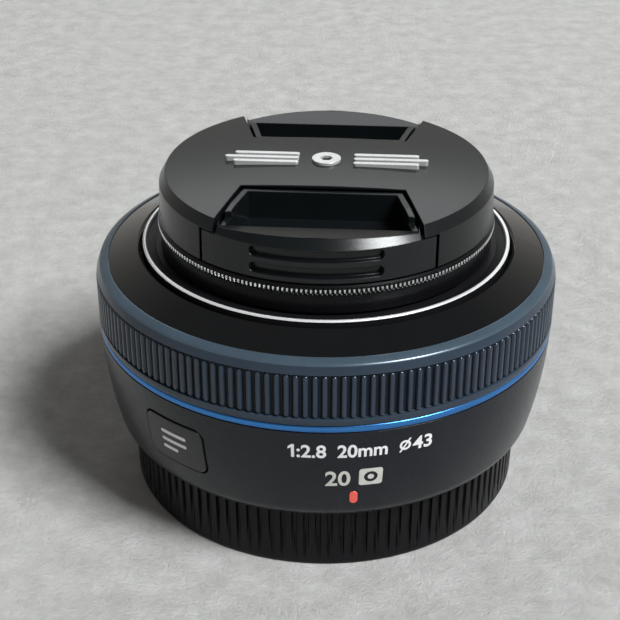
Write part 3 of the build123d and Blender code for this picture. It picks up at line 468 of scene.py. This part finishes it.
def curve_mesh(curve):
    """The mesh of a text or curve."""
    holder = bpy.data.objects.new(curve.name, curve)
    bpy.context.scene.collection.objects.link(holder)
    bpy.context.view_layer.update()
    mesh = bpy.data.meshes.new_from_object(holder.evaluated_get(bpy.context.evaluated_depsgraph_get()))
    bpy.data.objects.remove(holder)
    return mesh


def text_mesh(words, width, height, thicken=0.0):
    """Numerals as a thin solid fitted to a width and height, in mm, from their lower left corner."""
    curve = bpy.data.curves.new("words", "FONT")
    curve.body = words
    curve.size = 1.0
    curve.offset = thicken
    curve.resolution_u = 8
    curve.extrude = PRINT_HALF
    mesh = curve_mesh(curve)
    co = np.array([v.co for v in mesh.vertices])
    low, high = co.min(0), co.max(0)
    scale = (width / (high[0] - low[0]), height / (high[1] - low[1]))
    for vertex in mesh.vertices:
        vertex.co.x = (vertex.co.x - low[0]) * scale[0]
        vertex.co.y = (vertex.co.y - low[1]) * scale[1]
    return mesh


def plate_mesh(loops):
    """Flat figure in mm, as a thin solid: the first loop is the outline and the rest are holes."""
    curve = bpy.data.curves.new("figure", "CURVE")
    curve.dimensions = "2D"
    curve.fill_mode = "BOTH"
    curve.extrude = PRINT_HALF
    for loop in loops:
        spline = curve.splines.new("POLY")
        spline.points.add(len(loop) - 1)
        for point, (x, y) in zip(spline.points, loop):
            point.co = (x, y, 0, 1)
        spline.use_cyclic_u = True
    return curve_mesh(curve)


def circle(x, y, radius, count=40):
    """Outline of a circle about a centre."""
    turns = [2 * pi * k / count for k in range(count)]
    return [(x + radius * cos(turn), y + radius * sin(turn)) for turn in turns]


def rounded(x, y, width, height, corner, count=8):
    """Outline of a rounded rectangle about a centre."""
    loop = []
    for sx, sy, start in ((1, 1, 0), (-1, 1, 90), (-1, -1, 180), (1, -1, 270)):
        for k in range(count + 1):
            a = radians(start + 90 * k / count)
            loop.append((x + sx * (width / 2 - corner) + corner * cos(a),
                         y + sy * (height / 2 - corner) + corner * sin(a)))
    return loop


LONG_EDGE = 0.6                        # mm, edges longer than this are cut so that they follow the curve
WRAP_WELD = 1e-5


def wrap(name, mesh, azimuth, z, body, material, lift=PRINT_LIFT, base=0.0):
    """Wraps a flat figure round the casing from an azimuth and height, and gives it its paint."""
    work = bmesh.new()
    work.from_mesh(mesh)
    bmesh.ops.remove_doubles(work, verts=work.verts, dist=WRAP_WELD)
    long_edges = [e for e in work.edges if e.calc_length() > LONG_EDGE]
    bmesh.ops.subdivide_edges(work, edges=long_edges, cuts=2, use_grid_fill=True)
    bmesh.ops.triangulate(work, faces=[f for f in work.faces if len(f.verts) > 4])
    around = case_radius(z)
    for vertex in work.verts:
        x, y, out = vertex.co
        here = z + y
        turn = azimuth + x / around * 180 / pi
        vertex.co = polar(case_radius(here) + base + lift * (1 if out > 0 else -1), turn, here) * MM
    bmesh.ops.recalc_face_normals(work, faces=work.faces)
    work.to_mesh(mesh)
    work.free()
    mesh.name = name
    return finish_piece(name, mesh, body, material, 40.0)


def arc(degrees, z=18.0):
    """Length round the casing of an angle, in mm."""
    return radians(degrees) * case_radius(z)


def mark(name, mesh, azimuth, z, material, lift=PRINT_LIFT):
    """A printed figure on the rear casing."""
    wrap(name, mesh, azimuth, z, "lens_body", material, lift)


ROW_1_Z, ROW_1_H = 19.62, 1.98
ROW_1_BOLD = 0.022
figure_one = [(0.40, 0), (0.78, 0), (0.78, ROW_1_H), (0.46, ROW_1_H), (0.0, 1.60), (0.0, 1.24), (0.40, 1.50)]
mark("mark_one", plate_mesh([figure_one]), -8.3, ROW_1_Z, PRINT_WHITE)
ROW_1 = (("mark_ratio", ":2.8", 6.75, -6.3),       # name, words, width and azimuth in degrees
         ("mark_length", "20mm", 11.6, 2.95),
         ("mark_thread", "43", 4.87, 20.5))
for name, words, degrees_wide, azimuth in ROW_1:
    mark(name, text_mesh(words, arc(degrees_wide), ROW_1_H, ROW_1_BOLD), azimuth, ROW_1_Z, PRINT_WHITE)

ROUND_AZ = 17.26                       # the diameter sign: a ring with a slash across it
ROUND_X, ROUND_Y = 0.76, 0.98
slash = [(0.02, 0.02), (0.20, -0.10), (1.50, 1.92), (1.32, 2.04)]
mark("mark_round", plate_mesh([circle(ROUND_X, ROUND_Y, 0.74), circle(ROUND_X, ROUND_Y, 0.44)]), ROUND_AZ,
     ROW_1_Z, PRINT_WHITE)
mark("mark_slash", plate_mesh([slash]), ROUND_AZ, ROW_1_Z, PRINT_WHITE, 0.014)

PICTURE_X, PICTURE_Y = 1.45, 1.35      # middle of the plain picture beside the focal length
mark("mark_scale", text_mesh("20", arc(5.8), 2.45, 0.020), 0.2, 15.0, PRINT_CREAM)
mark("mark_picture", plate_mesh([rounded(PICTURE_X, PICTURE_Y, 2.95, 2.7, 0.38),
                                 circle(PICTURE_X, PICTURE_Y, 0.86), circle(PICTURE_X, PICTURE_Y, 0.40)]),
     8.15, 14.95, PRINT_CREAM)

GLYPH_AZ, GLYPH_Z = -38.5, 17.0        # three bars on the button
GLYPH_LEFT, GLYPH_PITCH, GLYPH_TALL, GLYPH_CORNER = -2.1, 1.25, 0.52, 0.25
BUTTON_PROUD = 0.12                    # how far the button's face stands out from the casing
for row, wide in enumerate((4.2, 4.2, 2.6)):
    bar = rounded(GLYPH_LEFT + wide / 2, GLYPH_PITCH - GLYPH_PITCH * row, wide, GLYPH_TALL, GLYPH_CORNER)
    wrap(f"button_glyph_{row + 1}", plate_mesh([bar]), GLYPH_AZ, GLYPH_Z, "button_body",
         PRINT_WHITE, PRINT_LIFT, BUTTON_PROUD)

# ------------------------------------------------------------------ floor, light and camera
bpy.context.scene.view_settings.view_transform = "Standard"


def floor_material():
    """Pale brushed fleece."""
    mat, nodes, links, shader, coord = new_material("floor_fleece")
    broad = noise(nodes, links, coord, 210, 6.0, 0.72)
    pale = ramp(nodes, links, broad, (0.53, 0.525, 0.505), (0.77, 0.765, 0.745))
    links.new(pale, shader.inputs["Base Color"])
    pile = noise(nodes, links, coord, 1100, 8.0, 0.82)
    bump(nodes, links, shader, pile, 0.85, 0.0015)
    shader.inputs["Roughness"].default_value = 0.95
    shader.inputs["Sheen Weight"].default_value = 0.2
    return mat


FLOOR_HALF = 1.6
floor_mesh = bpy.data.meshes.new("floor")
floor_mesh.from_pydata([(-FLOOR_HALF, -FLOOR_HALF, 0), (FLOOR_HALF, -FLOOR_HALF, 0),
                        (FLOOR_HALF, FLOOR_HALF, 0), (-FLOOR_HALF, FLOOR_HALF, 0)], [], [(0, 1, 2, 3)])
floor = bpy.data.objects.new("floor", floor_mesh)
bpy.context.scene.collection.objects.link(floor)
floor_mesh.materials.append(floor_material())

world = bpy.data.worlds.new("studio")
bpy.context.scene.world = world
world.use_nodes = True
sky = world.node_tree.nodes
sky_coord = sky.new("ShaderNodeTexCoord")
sky_split = sky.new("ShaderNodeSeparateXYZ")
sky_ramp = sky.new("ShaderNodeValToRGB")
sky_ramp.color_ramp.elements[0].position = 0.0
sky_ramp.color_ramp.elements[0].color = (0.48, 0.46, 0.43, 1)
sky_ramp.color_ramp.elements[1].position = 0.75
sky_ramp.color_ramp.elements[1].color = (0.113, 0.110, 0.106, 1)
world.node_tree.links.new(sky_coord.outputs["Generated"], sky_split.inputs["Vector"])
world.node_tree.links.new(sky_split.outputs["Z"], sky_ramp.inputs["Fac"])
world.node_tree.links.new(sky_ramp.outputs["Color"], sky["Background"].inputs["Color"])
sky["Background"].inputs["Strength"].default_value = 0.9


def area_light(name, place, target, size, power, color, tall=None):
    """Soft rectangular light, aimed at a target."""
    light = bpy.data.lights.new(name, "AREA")
    light.energy = power
    light.color = color
    light.shape = "RECTANGLE"
    light.size = size
    light.size_y = tall or size
    obj = bpy.data.objects.new(name, light)
    bpy.context.scene.collection.objects.link(obj)
    obj.location = place
    obj.rotation_euler = (Vector(target) - Vector(place)).to_track_quat("-Z", "Y").to_euler()
    return obj


area_light("key", place=(0.81, -0.634, 1.28), target=(0, 0, 0.02), size=0.55, power=44.5,
           color=(0.96, 0.985, 1.0))
area_light("back_soft", place=(0.0, 1.30, 0.95), target=(0, 0, 0.03), size=0.8, power=2.3,
           color=(0.95, 0.99, 1.0), tall=0.5)

SENSOR, LENS = 36.0, 81.290323           # mm
CAMERA_DIST, AIM_Z = 190.9905, 32.8     # mm, from the point on the axis at this height
CAMERA_EL, CAMERA_ROLL = radians(26.6716), radians(0.38277)
TURN_RIGHT, TURN_UP = radians(0.629379), radians(2.562545)   # away from that point


def camera():
    """Camera in front and above, turned a little from the aim point and then rolled."""
    ce, se = cos(CAMERA_EL), sin(CAMERA_EL)
    place = Vector((0, -ce, se)) * CAMERA_DIST + Vector((0, 0, AIM_Z))
    forward, right, up = Vector((0, ce, -se)), Vector((1, 0, 0)), Vector((0, se, ce))
    cr, sr = cos(CAMERA_ROLL), sin(CAMERA_ROLL)
    ax, ay = TURN_RIGHT, TURN_UP
    forward, right = cos(ax) * forward - sin(ax) * right, cos(ax) * right + sin(ax) * forward
    forward, up = cos(ay) * forward - sin(ay) * up, cos(ay) * up + sin(ay) * forward
    right, up = cr * right + sr * up, -sr * right + cr * up
    data = bpy.data.cameras.new("camera")
    data.sensor_width = SENSOR
    data.lens = LENS
    data.clip_start = 0.01
    data.clip_end = 20
    obj = bpy.data.objects.new("camera", data)
    bpy.context.scene.collection.objects.link(obj)
    axes = Matrix((right, up, -forward)).transposed()
    obj.matrix_world = Matrix.Translation(place * MM) @ axes.to_4x4()
    return obj


bpy.context.scene.camera = camera()
